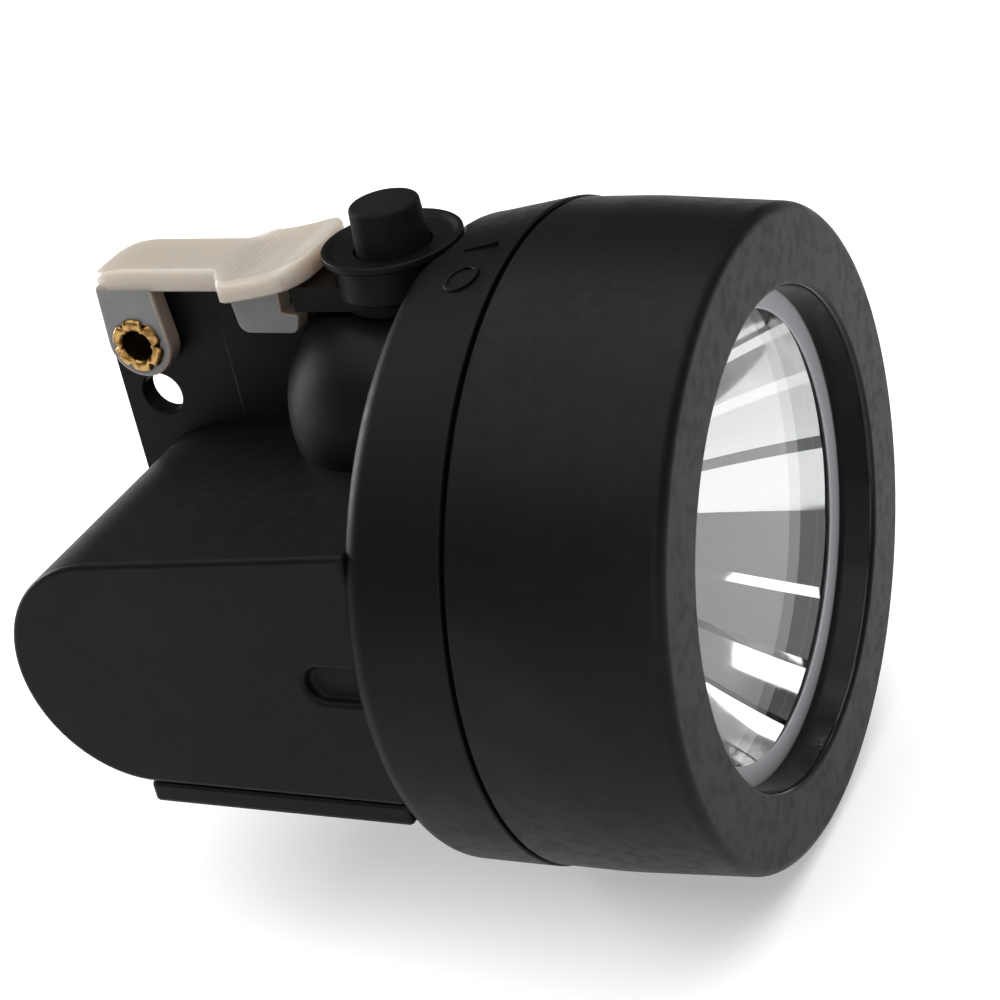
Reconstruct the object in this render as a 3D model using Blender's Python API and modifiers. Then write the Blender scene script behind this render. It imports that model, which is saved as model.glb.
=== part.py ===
"""Cordless miner's cap lamp, built as the separate pieces it comes apart into.

Every piece is placed in the lamp's own frame: X runs forward along the optical axis, Z is up, and the
origin is where that axis crosses the seam between the bezel and the rear ring. The empty lamp_frame
then stands the whole lamp on the ground, centred on it. Lengths are in metres.
"""

import math

import bmesh
import bpy

# Head: everything turned about the optical axis
RING_R = 0.0352  # largest radius, and so the height of the optical axis above the ground
RING_REAR_X = -0.0107
RING_ROUND = 0.0026
BACK_WALL = 0.0030
BEZEL_SEAM_R = 0.0350
BEZEL_FRONT_R = 0.0342
BEZEL_FRONT_X = 0.0219
BEZEL_ROUND = 0.0013
BORE_R = 0.0257
LIP_REAR_X = 0.0178
BEZEL_INNER_R = 0.0318
SPIGOT_R = 0.0315
SPIGOT_INNER_R = 0.0290
SPIGOT_FRONT_X = 0.0090
LENS_R = 0.0312
LENS_THICK = 0.0015
GASKET_THICK = 0.0006
REFLECTOR_R = 0.0228
REFLECTOR_FRONT_X = 0.0148
REFLECTOR_FOCUS = 0.00657
REFLECTOR_HOLE_R = 0.0042
REFLECTOR_WALL = 0.0012
HEAT_SINK_R = 0.0086
HEAT_SINK_REAR_X = -0.0135

# Battery case: a D-shaped box across the back of the head
CASE_HALF_Y = 0.0315
CASE_ARC_X = -0.0408
CASE_ARC_Z = -0.0007
CASE_ARC_R = 0.0134
CASE_SLOPE = math.radians(4.65)  # the deck climbs towards the head
CASE_WALL = 0.0020
CASE_FRONT_X = -0.0110
CASE_EDGE = 0.0008
SLOT_HALF_Z = 0.0020
SLOT_REAR_X = -0.0190
SLOT_DEPTH = 0.0012
SOLE_HALF_Y = 0.0310
SOLE_REAR_X = -0.0420
SOLE_TOP_Z = -0.0144
SOLE_BOTTOM_Z = -0.0170
CELL_R = 0.0091
CELL_LENGTH = 0.0500
CELL_Z = -0.0015
CELL_X = (-0.0420, -0.0234)

# Switch tower, switch and push button: everything turned about the switch axis
SWITCH_X = -0.0163
TOWER_X = -0.0165
TOWER_R = 0.0146
TOWER_NECK_R = 0.0065
TOWER_BELLY_Z = 0.0155
TOWER_TOP_Z = 0.0274
TOWER_WALL = 0.0018
BOSS_R = 0.0068
BOSS_BOTTOM_Z = 0.0277
BOSS_TOP_Z = 0.0323
BOSS_BORE_R = 0.0055
LEDGE_REAR_X = -0.0267
LEDGE_HALF_Y = 0.0050
LEDGE_BOTTOM_Z = 0.0280
LEDGE_TOP_Z = 0.0309
COLLAR_R = 0.00723
COLLAR_TOP_Z = 0.0340
BUTTON_TOP_R = 0.0037
BUTTON_BASE_R = 0.00395
BUTTON_TOP_Z = 0.0381
BUTTON_FLANGE_R = 0.0051
BUTTON_FLANGE_Z = 0.0312
BUTTON_TRAVEL = 0.0012
BOARD_Z = 0.0200
BOARD_THICK = 0.0015
TACT_TOP_Z = 0.0252
LEAD_Y = 0.0030
LED_LEAD_Z = 0.0180

# Bracket plate and the spring clip that turns on it
PLATE_HALF_Y = 0.0012
PLATE_REAR_X = -0.0536
PLATE_TOP_Z = 0.0292
HOLE_X = -0.0488
HOLE_Z = 0.0160
HOLE_R = 0.00245
WEB_REAR_X = -0.0400
WEB_HALF_Y = 0.0023
WEB_TOP_Z = 0.0244
PIVOT_X = -0.0478
PIVOT_Z = 0.0236
CLIP_HALF_Y = 0.0042
CLIP_LEG_THICK = 0.0024
CLIP_LEG_R = 0.0039
CLIP_REAR_X = -0.0522
CLIP_UNDER_Z = 0.0298
CLIP_THICK = 0.0026
TAB_REAR_X = -0.0362
TAB_HALF_Y = 0.0070
TAB_END_X = -0.0243
TAB_CORNER_X = -0.0275
TAB_LIFT = 0.0021
HOOK_REAR_X = -0.0350
HOOK_FRONT_X = -0.0289
HOOK_BOTTOM_Z = 0.0251
HOOK_TIP_X = -0.02695
EYELET_R = 0.00335
EYELET_BORE_R = 0.00175
EYELET_TUBE_R = 0.0024

GAP = 0.0003  # between pieces that touch on the real lamp
ROUND_SEGMENTS = 60
INNER_SEGMENTS = 40
SMALL_SEGMENTS = 20

FRAME_X = -(CASE_ARC_X - CASE_ARC_R + BEZEL_FRONT_X) / 2
FRAME_Z = RING_R


# ---------------------------------------------------------------- scene, materials and helpers


def clear_scene():
    for obj in list(bpy.data.objects):
        bpy.data.objects.remove(obj, do_unlink=True)


def new_collection(name):
    collection = bpy.data.collections.new(name)
    bpy.context.scene.collection.children.link(collection)
    return collection


clear_scene()
PARTS = new_collection("miners_cap_lamp")
CUTTERS = new_collection("cutters")
FRAME = bpy.data.objects.new("lamp_frame", None)
FRAME.location = (FRAME_X, 0, FRAME_Z)
PARTS.objects.link(FRAME)


def material(name, colour, roughness, metallic=0.0, transmission=0.0):
    made = bpy.data.materials.new(name)
    made.use_nodes = True
    shader = made.node_tree.nodes["Principled BSDF"]
    shader.inputs["Base Color"].default_value = (*colour, 1)
    shader.inputs["Roughness"].default_value = roughness
    shader.inputs["Metallic"].default_value = metallic
    shader.inputs["Transmission Weight"].default_value = transmission
    made.diffuse_color = (*colour, 1)
    return made


BLACK_PLASTIC = material("black_plastic", (0.020, 0.020, 0.019), 0.45)
BLACK_RUBBER = material("black_rubber", (0.015, 0.015, 0.015), 0.70)
CLEAR_LENS = material("clear_lens", (0.95, 0.96, 0.96), 0.03, transmission=0.9)
GREY_SILICONE = material("grey_silicone", (0.42, 0.42, 0.41), 0.45)
CHROME = material("chrome", (0.90, 0.90, 0.90), 0.08, metallic=1.0)
LED_YELLOW = material("led_phosphor", (0.90, 0.75, 0.20), 0.35)
ALUMINIUM = material("aluminium", (0.75, 0.75, 0.76), 0.35, metallic=1.0)
CIRCUIT_GREEN = material("circuit_board", (0.05, 0.22, 0.10), 0.50)
WHITE_SOLDER_MASK = material("white_solder_mask", (0.85, 0.85, 0.83), 0.45)
STEEL = material("steel", (0.55, 0.55, 0.56), 0.30, metallic=1.0)
NICKEL = material("nickel", (0.70, 0.68, 0.62), 0.30, metallic=1.0)
BRASS = material("brass", (0.72, 0.52, 0.22), 0.25, metallic=1.0)
CELL_WRAP = material("cell_wrap", (0.08, 0.20, 0.42), 0.40)
GREY_PLASTIC = material("grey_plastic", (0.25, 0.25, 0.26), 0.50)
MILKY_PLASTIC = material("milky_plastic", (0.80, 0.77, 0.74), 0.35, transmission=0.4)
RED_INSULATION = material("red_insulation", (0.55, 0.03, 0.02), 0.45)
BLACK_INSULATION = material("black_insulation", (0.02, 0.02, 0.02), 0.45)


def place(name, mesh, look, location=(0, 0, 0), rotation=(0, 0, 0)):
    """A new object in the lamp's frame. With no look it is a cutter."""
    obj = bpy.data.objects.new(name, mesh)
    obj.parent = FRAME
    obj.location = location
    obj.rotation_euler = rotation
    if look is None:
        CUTTERS.objects.link(obj)
        obj.hide_render = True
        obj.display_type = "WIRE"
    else:
        PARTS.objects.link(obj)
        mesh.materials.append(look)
    return obj


ALONG = {"Z": (0, 0, 0), "X": (0, math.pi / 2, 0), "-Y": (math.pi / 2, 0, 0)}


def arc(centre, radius, start, end, steps):
    """Points on an arc, from angle start to angle end, both in degrees."""
    turns = [math.radians(start + (end - start) * i / steps) for i in range(steps + 1)]
    return [(centre[0] + radius * math.cos(t), centre[1] + radius * math.sin(t)) for t in turns]


def lathe(name, profile, look, along="X", location=(0, 0, 0), segments=ROUND_SEGMENTS):
    """Turns a profile of (radius, height) points. One that starts and ends on the axis is left open."""
    around = profile[1:] + profile[:1]
    area = sum(a[0] * b[1] - b[0] * a[1] for a, b in zip(profile, around))
    points = profile[::-1] if area > 0 else profile
    on_axis = profile[0][0] == 0 and profile[-1][0] == 0
    mesh = bpy.data.meshes.new(name)
    edges = [(i, i + 1) for i in range(len(points) - 1)]
    if not on_axis:
        edges.append((len(points) - 1, 0))
    mesh.from_pydata([(r, 0, h) for r, h in points], edges, [])
    obj = place(name, mesh, look, location, ALONG[along])
    screw = obj.modifiers.new("turn", "SCREW")
    screw.steps = segments
    screw.render_steps = segments
    screw.use_merge_vertices = True
    screw.merge_threshold = 1e-6
    screw.use_smooth_shade = True
    return obj


def solid_from_curve(temp):
    """The curve object's mesh with its caps welded. The curve itself is removed."""
    bpy.context.view_layer.update()
    graph = bpy.context.evaluated_depsgraph_get()
    mesh = bpy.data.meshes.new_from_object(temp.evaluated_get(graph))
    curve = temp.data
    bpy.data.objects.remove(temp)
    bpy.data.curves.remove(curve)
    shape = bmesh.new()
    shape.from_mesh(mesh)
    bmesh.ops.remove_doubles(shape, verts=shape.verts, dist=1e-6)
    bmesh.ops.dissolve_limit(
        shape, angle_limit=math.radians(0.5), verts=shape.verts, edges=shape.edges
    )
    bmesh.ops.recalc_face_normals(shape, faces=shape.faces)
    shape.to_mesh(mesh)
    shape.free()
    mesh.materials.clear()
    return mesh


def slab(name, outline, thick, look, along="-Y", location=(0, 0, 0), edge=0.0):
    """A flat outline given its thickness. Along -Y, the outline's points are (x, z)."""
    curve = bpy.data.curves.new(name, "CURVE")
    curve.dimensions = "2D"
    curve.fill_mode = "BOTH"
    curve.extrude = thick / 2
    spline = curve.splines.new("POLY")
    spline.points.add(len(outline) - 1)
    for point, (x, y) in zip(spline.points, outline):
        point.co = (x, y, 0, 1)
    spline.use_cyclic_u = True
    temp = bpy.data.objects.new(name + "_outline", curve)
    PARTS.objects.link(temp)
    obj = place(name, solid_from_curve(temp), look, location, ALONG[along])
    if edge:
        round_edges(obj, edge)
    return obj


def round_edges(obj, width, segments=2, sharper_than=50):
    bevel = obj.modifiers.new("round", "BEVEL")
    bevel.width = width
    bevel.segments = segments
    bevel.limit_method = "ANGLE"
    bevel.angle_limit = math.radians(sharper_than)


def box(name, low, high, look, edge=0.0):
    shape = bmesh.new()
    bmesh.ops.create_cube(shape, size=1)
    size = [b - a for a, b in zip(low, high)]
    bmesh.ops.scale(shape, vec=size, verts=shape.verts)
    mesh = bpy.data.meshes.new(name)
    shape.to_mesh(mesh)
    shape.free()
    obj = place(name, mesh, look, [(a + b) / 2 for a, b in zip(low, high)])
    if edge:
        round_edges(obj, edge)
    return obj


def rod(name, start, length, radius, look, along, segments=SMALL_SEGMENTS):
    """A plain cylinder that begins at start and runs along Z, X or -Y."""
    profile = [(0, length), (radius, length), (radius, 0), (0, 0)]
    return lathe(name, profile, look, along, start, segments)


def wire(name, points, radius, look):
    curve = bpy.data.curves.new(name, "CURVE")
    curve.dimensions = "3D"
    curve.bevel_depth = radius
    curve.bevel_resolution = 2
    curve.use_fill_caps = True
    spline = curve.splines.new("POLY")
    spline.points.add(len(points) - 1)
    for point, place_at in zip(spline.points, points):
        point.co = (*place_at, 1)
    temp = bpy.data.objects.new(name + "_path", curve)
    PARTS.objects.link(temp)
    return place(name, solid_from_curve(temp), look)


def smooth_path(corners, per_span=5):
    """A Catmull-Rom curve through the corners."""
    ends = [corners[0], *corners, corners[-1]]
    path = []
    for a, b, c, d in zip(ends, ends[1:], ends[2:], ends[3:]):
        for i in range(per_span):
            t = i / per_span
            path.append(
                tuple(
                    0.5 * (2 * q + (r - p) * t + (2 * p - 5 * q + 4 * r - s) * t**2 + (3 * q - p - 3 * r + s) * t**3)
                    for p, q, r, s in zip(a, b, c, d)
                )
            )
    return [*path, corners[-1]]


def combine(obj, other, operation):
    boolean = obj.modifiers.new(operation.lower(), "BOOLEAN")
    boolean.operation = operation
    boolean.object = other
    boolean.solver = "EXACT"


def cut(obj, *cutters):
    for cutter in cutters:
        combine(obj, cutter, "DIFFERENCE")


def join(obj, *others):
    for other in others:
        combine(obj, other, "UNION")


# ---------------------------------------------------------------- head, lens and light


def make_bezel():
    lip_round = 0.0006
    profile = [
        (BEZEL_SEAM_R, 0),
        (BEZEL_SEAM_R, BEZEL_FRONT_X * 0.35),
        *arc(
            (BEZEL_FRONT_R - BEZEL_ROUND, BEZEL_FRONT_X - BEZEL_ROUND), BEZEL_ROUND, 0, 90, 4
        ),
        (BORE_R + lip_round, BEZEL_FRONT_X),
        (BORE_R, BEZEL_FRONT_X - lip_round),
        (BORE_R, LIP_REAR_X),
        (BEZEL_INNER_R, LIP_REAR_X),
        (BEZEL_INNER_R, 0),
    ]
    return lathe("front_bezel", profile, BLACK_PLASTIC)


def make_head_ring():
    groove_out, groove_in, groove_x = 0.0341, 0.0322, -0.0016
    hole_r = HEAT_SINK_R + GAP
    wall_x = RING_REAR_X + BACK_WALL
    profile = [
        (RING_R, -GAP),
        *arc((RING_R - RING_ROUND, RING_REAR_X + RING_ROUND), RING_ROUND, 0, -90, 5),
        (hole_r, RING_REAR_X),
        (hole_r, wall_x),
        (SPIGOT_INNER_R, wall_x),
        (SPIGOT_INNER_R, SPIGOT_FRONT_X),
        (SPIGOT_R, SPIGOT_FRONT_X),
        (SPIGOT_R, -GAP),
        (groove_in, -GAP),
        (groove_in, groove_x),
        (groove_out, groove_x),
        (groove_out, -GAP),
    ]
    ring = lathe("head_ring", profile, BLACK_PLASTIC)
    notch_r = COLLAR_R + GAP
    notch_z = BOSS_BOTTOM_Z - 2 * GAP
    cut(ring, rod("cut_switch_notch", (SWITCH_X, 0, notch_z), 0.012, notch_r, None, "Z", 48))
    for side in (-1, 1):
        start = (RING_REAR_X - 0.001, side * LEAD_Y, LED_LEAD_Z)
        cut(ring, rod(f"cut_lead_{side}", start, BACK_WALL + 0.002, 0.0011, None, "X", 16))
    return ring


def make_bezel_seal():
    section = arc((0.03315, -0.00085), 0.0006, 0, 300, 5)
    return lathe("bezel_seal", section, BLACK_RUBBER, segments=INNER_SEGMENTS)


def make_lens():
    front = LIP_REAR_X - GAP
    rear = front - LENS_THICK
    profile = [(0, front), (LENS_R, front), (LENS_R, rear), (0, rear)]
    return lathe("lens", profile, CLEAR_LENS, segments=INNER_SEGMENTS)


def make_gasket():
    """The flat ring between the lens and the reflector's flange."""
    front = LIP_REAR_X - LENS_THICK - 2 * GAP
    rear = front - GASKET_THICK
    profile = [(REFLECTOR_R, front), (LENS_R, front), (LENS_R, rear), (REFLECTOR_R, rear)]
    return lathe("lens_gasket", profile, GREY_SILICONE, segments=INNER_SEGMENTS)


def reflector_curve(radius, push_back):
    """(radius, x) on the paraboloid, pushed back along the axis by push_back."""
    depth = (REFLECTOR_R**2 - radius**2) / (4 * REFLECTOR_FOCUS)
    return (radius, REFLECTOR_FRONT_X - depth - push_back)


def make_reflector():
    steps = 6
    radii = [REFLECTOR_HOLE_R + (REFLECTOR_R - REFLECTOR_HOLE_R) * i / steps for i in range(steps + 1)]
    front = [reflector_curve(r, 0) for r in radii]
    back = [reflector_curve(r, REFLECTOR_WALL) for r in radii[::-1]]
    back[0] = (REFLECTOR_R + REFLECTOR_WALL, REFLECTOR_FRONT_X - 0.001)
    flange = [
        (LENS_R, REFLECTOR_FRONT_X),
        (LENS_R, REFLECTOR_FRONT_X - 0.001),
    ]
    return lathe("reflector", front + flange + back, CHROME, segments=INNER_SEGMENTS)


def make_light():
    base_x = REFLECTOR_FRONT_X - (REFLECTOR_R**2 - REFLECTOR_HOLE_R**2) / (4 * REFLECTOR_FOCUS)
    led_rear = base_x - 0.0013
    board_front = led_rear - GAP
    board_rear = board_front - 0.0012
    sink_front = board_rear - GAP
    dome_r = 0.0015
    dome = [(0, 0.0024), *arc((0, 0.0009), dome_r, 90, 0, 5)[1:], (0.0022, 0.0009), (0.0022, 0), (0, 0)]
    lathe("led_emitter", dome, LED_YELLOW, "X", (led_rear, 0, 0), SMALL_SEGMENTS)
    rod("led_board", (board_rear, 0, 0), board_front - board_rear, 0.0080, WHITE_SOLDER_MASK, "X", 28)
    groove_r, fin_gap = 0.0066, 0.0006
    first, second = HEAT_SINK_REAR_X + 0.0008, HEAT_SINK_REAR_X + 0.0020
    sink = [
        (0, sink_front),
        (HEAT_SINK_R, sink_front),
        (HEAT_SINK_R, second + fin_gap),
        (groove_r, second + fin_gap),
        (groove_r, second),
        (HEAT_SINK_R, second),
        (HEAT_SINK_R, first + fin_gap),
        (groove_r, first + fin_gap),
        (groove_r, first),
        (HEAT_SINK_R, first),
        (HEAT_SINK_R, HEAT_SINK_REAR_X),
        (0, HEAT_SINK_REAR_X),
    ]
    lathe("heat_sink", sink, ALUMINIUM, segments=28)


# ---------------------------------------------------------------- battery case and what it holds


def case_outline(grow=0.0, front_x=CASE_FRONT_X, bottom_z=None):
    """The case's side view as (x, z): a round back and a deck that climbs towards the head."""
    radius = CASE_ARC_R + grow
    centre = (CASE_ARC_X, CASE_ARC_Z)
    upper = arc(centre, radius, 90 + math.degrees(CASE_SLOPE), 180, 8)
    round_back = upper + arc(centre, radius, 180, 270, 8)[1:]
    deck_x, deck_z = round_back[0]
    front_top = (front_x, deck_z + (front_x - deck_x) * math.tan(CASE_SLOPE))
    if bottom_z is None:
        return [front_top, *round_back, (front_x, round_back[-1][1])]
    return [front_top, *round_back, (CASE_ARC_X, bottom_z), (front_x, bottom_z)]


def slot_cutter(side):
    end = arc((SLOT_REAR_X + SLOT_HALF_Z, 0), SLOT_HALF_Z, 90, 270, 8)
    outline = [(CASE_FRONT_X + 0.002, SLOT_HALF_Z), *end, (CASE_FRONT_X + 0.002, -SLOT_HALF_Z)]
    centre_y = side * (CASE_HALF_Y - SLOT_DEPTH + 0.002)
    return slab(f"cut_side_slot_{side}", outline, 0.004, None, "-Y", (0, centre_y, 0))


SCREW_PLACES = [(x, side * 0.0265) for x in (-0.0385, -0.0145) for side in (-1, 1)]


def make_case():
    case = slab("battery_case", case_outline(), 2 * CASE_HALF_Y, BLACK_PLASTIC, edge=CASE_EDGE)
    inner_half_y = CASE_HALF_Y - CASE_WALL
    hollow = case_outline(-CASE_WALL, CASE_FRONT_X + 0.004)
    cut(case, slab("cut_case_hollow", hollow, 2 * inner_half_y, None))
    cut(case, box("cut_case_mouth", (-0.0360, -0.0285, -0.020), (-0.0170, 0.0285, -0.010), None))
    cut(case, rod("cut_case_wires", (-0.0215, 0, 0.008), 0.010, 0.0045, None, "Z"))
    cut(case, slot_cutter(-1), slot_cutter(1))
    for i, (x, y) in enumerate(SCREW_PLACES):
        cut(case, rod(f"cut_case_screw_{i}", (x, y, -0.0160), 0.006, 0.0011, None, "Z", 12))


def make_sole():
    sole = box(
        "sole_cover",
        (SOLE_REAR_X, -SOLE_HALF_Y, SOLE_BOTTOM_Z),
        (CASE_FRONT_X, SOLE_HALF_Y, SOLE_TOP_Z),
        BLACK_PLASTIC,
        edge=0.0005,
    )
    for i, (x, y) in enumerate(SCREW_PLACES):
        head = 0.0022
        profile = [(0, 0.0040), (0.0012, 0.0040), (0.0012, 0.0015), (head, 0.0015), (head, -0.001), (0, -0.001)]
        place_at = (x, y, SOLE_BOTTOM_Z)
        cut(sole, lathe(f"cut_sole_screw_{i}", profile, None, "Z", place_at, 12))
        make_screw(f"sole_screw_{i + 1}", (x, y, SOLE_BOTTOM_Z + 0.0001))
    for i, (name, y) in enumerate((("charge_contact_plus", 0.0080), ("charge_contact_minus", -0.0080))):
        place_at = (-0.0265, y, SOLE_BOTTOM_Z)
        cut(sole, rod(f"cut_contact_{i}", (-0.0265, y, -0.020), 0.008, 0.0025, None, "Z"))
        stud = [(0, 0.0030), (0.0022, 0.0030), (0.0022, 0.0002), (0.0020, 0), (0, 0)]
        lathe(name, stud, BRASS, "Z", place_at, SMALL_SEGMENTS)


def make_screw(name, place_at):
    head_r, shank_r, head_h, length = 0.0020, 0.0009, 0.0012, 0.0050
    socket_r, socket_h = 0.0009, 0.0007
    profile = [
        (0, length),
        (shank_r, length - 0.0008),
        (shank_r, head_h),
        (head_r, head_h),
        (head_r, 0),
        (socket_r, 0),
        (socket_r, socket_h),
        (0, socket_h),
    ]
    lathe(name, profile, STEEL, "Z", place_at, 12)


def make_cells():
    button_r, button_h, bead = 0.0030, 0.0009, 0.0006
    half = CELL_LENGTH / 2
    profile = [
        (0, half),
        (button_r, half),
        (button_r, half - button_h),
        (CELL_R - bead, half - button_h),
        (CELL_R, half - button_h - bead),
        (CELL_R, -half + bead),
        (CELL_R - bead, -half),
        (0, -half),
    ]
    for i, x in enumerate(CELL_X):
        lathe(f"cell_{i + 1}", profile, CELL_WRAP, "-Y", (x, 0, CELL_Z), 24)
    strap_x = (CELL_X[0] - 0.004, CELL_X[1] + 0.004)
    for name, side in (("contact_strip_plus", -1), ("contact_strip_minus", 1)):
        inner = side * (half + GAP)
        outer = inner + side * 0.0004
        low_y, high_y = sorted((inner, outer))
        box(name, (strap_x[0], low_y, CELL_Z - 0.003), (strap_x[1], high_y, CELL_Z + 0.003), NICKEL)
    cradle = box("cell_cradle", (-0.0495, -0.0240, -0.0130), (-0.0150, 0.0240, -0.0045), GREY_PLASTIC)
    inside = slab("cut_cradle_limit", case_outline(-CASE_WALL - GAP, -0.0100), 0.060, None)
    combine(cradle, inside, "INTERSECT")
    for i, x in enumerate(CELL_X):
        start = (x, 0.030, CELL_Z)
        cut(cradle, rod(f"cut_cradle_{i}", start, 0.060, CELL_R + GAP, None, "-Y", 24))
    board = box("protection_board", (-0.0400, -0.0180, 0.0080), (-0.0270, 0.0180, 0.0090), CIRCUIT_GREEN)
    chip = box("protection_chips", (-0.0370, -0.0100, 0.0088), (-0.0320, 0.0060, 0.0099), None)
    join(board, chip)


def make_leads():
    lead_r = 0.0005
    for name, side, look in (("red", 1, RED_INSULATION), ("black", -1, BLACK_INSULATION)):
        battery_route = [
            (-0.0262, side * 0.0030, 0.0086),
            (-0.0245, side * 0.0026, 0.0090),
            (-0.0222, side * 0.0022, 0.0120),
            (-0.0215, side * 0.0022, 0.0160),
            (-0.0200, side * 0.0022, BOARD_Z - GAP),
        ]
        wire(f"battery_lead_{name}", smooth_path(battery_route, 3), lead_r, look)
        led_route = [
            (-0.0140, side * LEAD_Y, BOARD_Z - GAP),
            (-0.0136, side * LEAD_Y, LED_LEAD_Z + 0.0007),
            (-0.0120, side * LEAD_Y, LED_LEAD_Z),
            (-0.0070, side * LEAD_Y, LED_LEAD_Z),
            (-0.0050, side * LEAD_Y, LED_LEAD_Z - 0.0015),
            (-0.0055, side * LEAD_Y, 0.0120),
            (-0.0066, side * LEAD_Y, 0.0086),
        ]
        wire(f"led_lead_{name}", smooth_path(led_route, 3), lead_r, look)


# ---------------------------------------------------------------- switch tower, switch and button


def tower_profile(grow=0.0, steps=7):
    """(radius, z) up the outside of the bell, from under the deck to the flat top."""
    height = TOWER_TOP_Z - TOWER_BELLY_Z
    bell = []
    for i in range(steps + 1):
        turn = math.pi / 2 * i / steps
        radius = TOWER_NECK_R + (TOWER_R - TOWER_NECK_R) * math.cos(turn)
        bell.append((radius + grow, TOWER_BELLY_Z + (height + grow) * math.sin(turn)))
    return [(TOWER_R + grow, 0.0080), *bell]


def make_tower():
    outside = tower_profile()
    inside = [point for point in tower_profile(-TOWER_WALL) if point[0] > BOSS_BORE_R + GAP]
    ceiling = TOWER_TOP_Z - TOWER_WALL
    profile = [*outside, (BOSS_BORE_R, TOWER_TOP_Z), (BOSS_BORE_R, ceiling), *inside[::-1]]
    tower = lathe("switch_tower", profile, BLACK_PLASTIC, "Z", (TOWER_X, 0, 0), INNER_SEGMENTS)
    cut(tower, slab("cut_tower_deck", case_outline(GAP, 0.010), 0.080, None))
    cut(tower, box("cut_tower_front", (CASE_FRONT_X, -0.02, 0), (0.010, 0.02, 0.040), None))


def make_switch_housing():
    profile = [
        (BOSS_BORE_R, BOSS_TOP_Z),
        (BOSS_R, BOSS_TOP_Z),
        (BOSS_R, BOSS_BOTTOM_Z),
        (BOSS_BORE_R, BOSS_BOTTOM_Z),
    ]
    housing = lathe("switch_housing", profile, BLACK_PLASTIC, "Z", (SWITCH_X, 0, 0), 32)
    ledge_low = (LEDGE_REAR_X, -LEDGE_HALF_Y, LEDGE_BOTTOM_Z)
    ledge = box("ledge_block", ledge_low, (SWITCH_X, LEDGE_HALF_Y, LEDGE_TOP_Z), None)
    round_edges(ledge, 0.0003)
    cut(ledge, rod("cut_ledge_bore", (SWITCH_X, 0, 0.025), 0.012, BOSS_R - 0.0004, None, "Z", 32))
    join(housing, ledge)


def make_collar():
    floor_z = BOSS_TOP_Z + GAP
    bore = BUTTON_BASE_R + GAP
    profile = [
        (bore, floor_z + 0.0006),
        (COLLAR_R - 0.0011, floor_z + 0.0008),
        (COLLAR_R - 0.0008, COLLAR_TOP_Z),
        (COLLAR_R - 0.0003, COLLAR_TOP_Z),
        (COLLAR_R, COLLAR_TOP_Z - 0.0003),
        (COLLAR_R, floor_z),
        (bore, floor_z),
    ]
    lathe("switch_collar", profile, BLACK_PLASTIC, "Z", (SWITCH_X, 0, 0), INNER_SEGMENTS)


def make_button():
    flange_top = BOSS_TOP_Z
    edge = 0.0004
    profile = [
        (0, BUTTON_TOP_Z - BUTTON_FLANGE_Z),
        (BUTTON_TOP_R - edge, BUTTON_TOP_Z - BUTTON_FLANGE_Z),
        (BUTTON_TOP_R, BUTTON_TOP_Z - BUTTON_FLANGE_Z - edge),
        (BUTTON_BASE_R, flange_top - BUTTON_FLANGE_Z),
        (BUTTON_FLANGE_R, flange_top - BUTTON_FLANGE_Z),
        (BUTTON_FLANGE_R, 0),
        (0, 0),
    ]
    lathe("push_button", profile, BLACK_RUBBER, "Z", (SWITCH_X, 0, BUTTON_FLANGE_Z), 28)
    stem_low = TACT_TOP_Z + BUTTON_TRAVEL + GAP
    stem_high = BUTTON_FLANGE_Z - GAP
    rod("switch_plunger", (SWITCH_X, 0, stem_low), stem_high - stem_low, 0.0016, GREY_PLASTIC, "Z")


def make_switch():
    board_low = (TOWER_X, 0, BOARD_Z)
    board = rod("driver_board", board_low, BOARD_THICK, 0.0100, CIRCUIT_GREEN, "Z", 28)
    cut(board, box("cut_board_front", (-0.0120, -0.02, 0.015), (0.0, 0.02, 0.025), None))
    low = (SWITCH_X - 0.003, -0.003, BOARD_Z + BOARD_THICK + GAP)
    tact = box("tact_switch", low, (SWITCH_X + 0.003, 0.003, TACT_TOP_Z - 0.0008), GREY_PLASTIC, 0.0002)
    actuator = rod("tact_actuator", (SWITCH_X, 0, 0.0235), TACT_TOP_Z - 0.0235, 0.0015, None, "Z")
    join(tact, actuator)
    coil_r, coil_wire, turns, per_turn = 0.0048, 0.00022, 4, 11
    bottom = BOARD_Z + BOARD_THICK + GAP + coil_wire
    top = BUTTON_FLANGE_Z - GAP - coil_wire
    count = int(turns * per_turn)
    coil = []
    for i in range(count + 1):
        turn = 2 * math.pi * i / per_turn
        climb = bottom + (top - bottom) * i / count
        coil.append((SWITCH_X + coil_r * math.cos(turn), coil_r * math.sin(turn), climb))
    wire("return_spring", coil, coil_wire, STEEL)


# ---------------------------------------------------------------- bracket plate, rivet and clip


def tower_cutter():
    profile = tower_profile(GAP)
    profile = [(0, profile[0][1]), *profile, (0, profile[-1][1])]
    return lathe("cut_plate_tower", profile, None, "Z", (TOWER_X, 0, 0), INNER_SEGMENTS)


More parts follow.
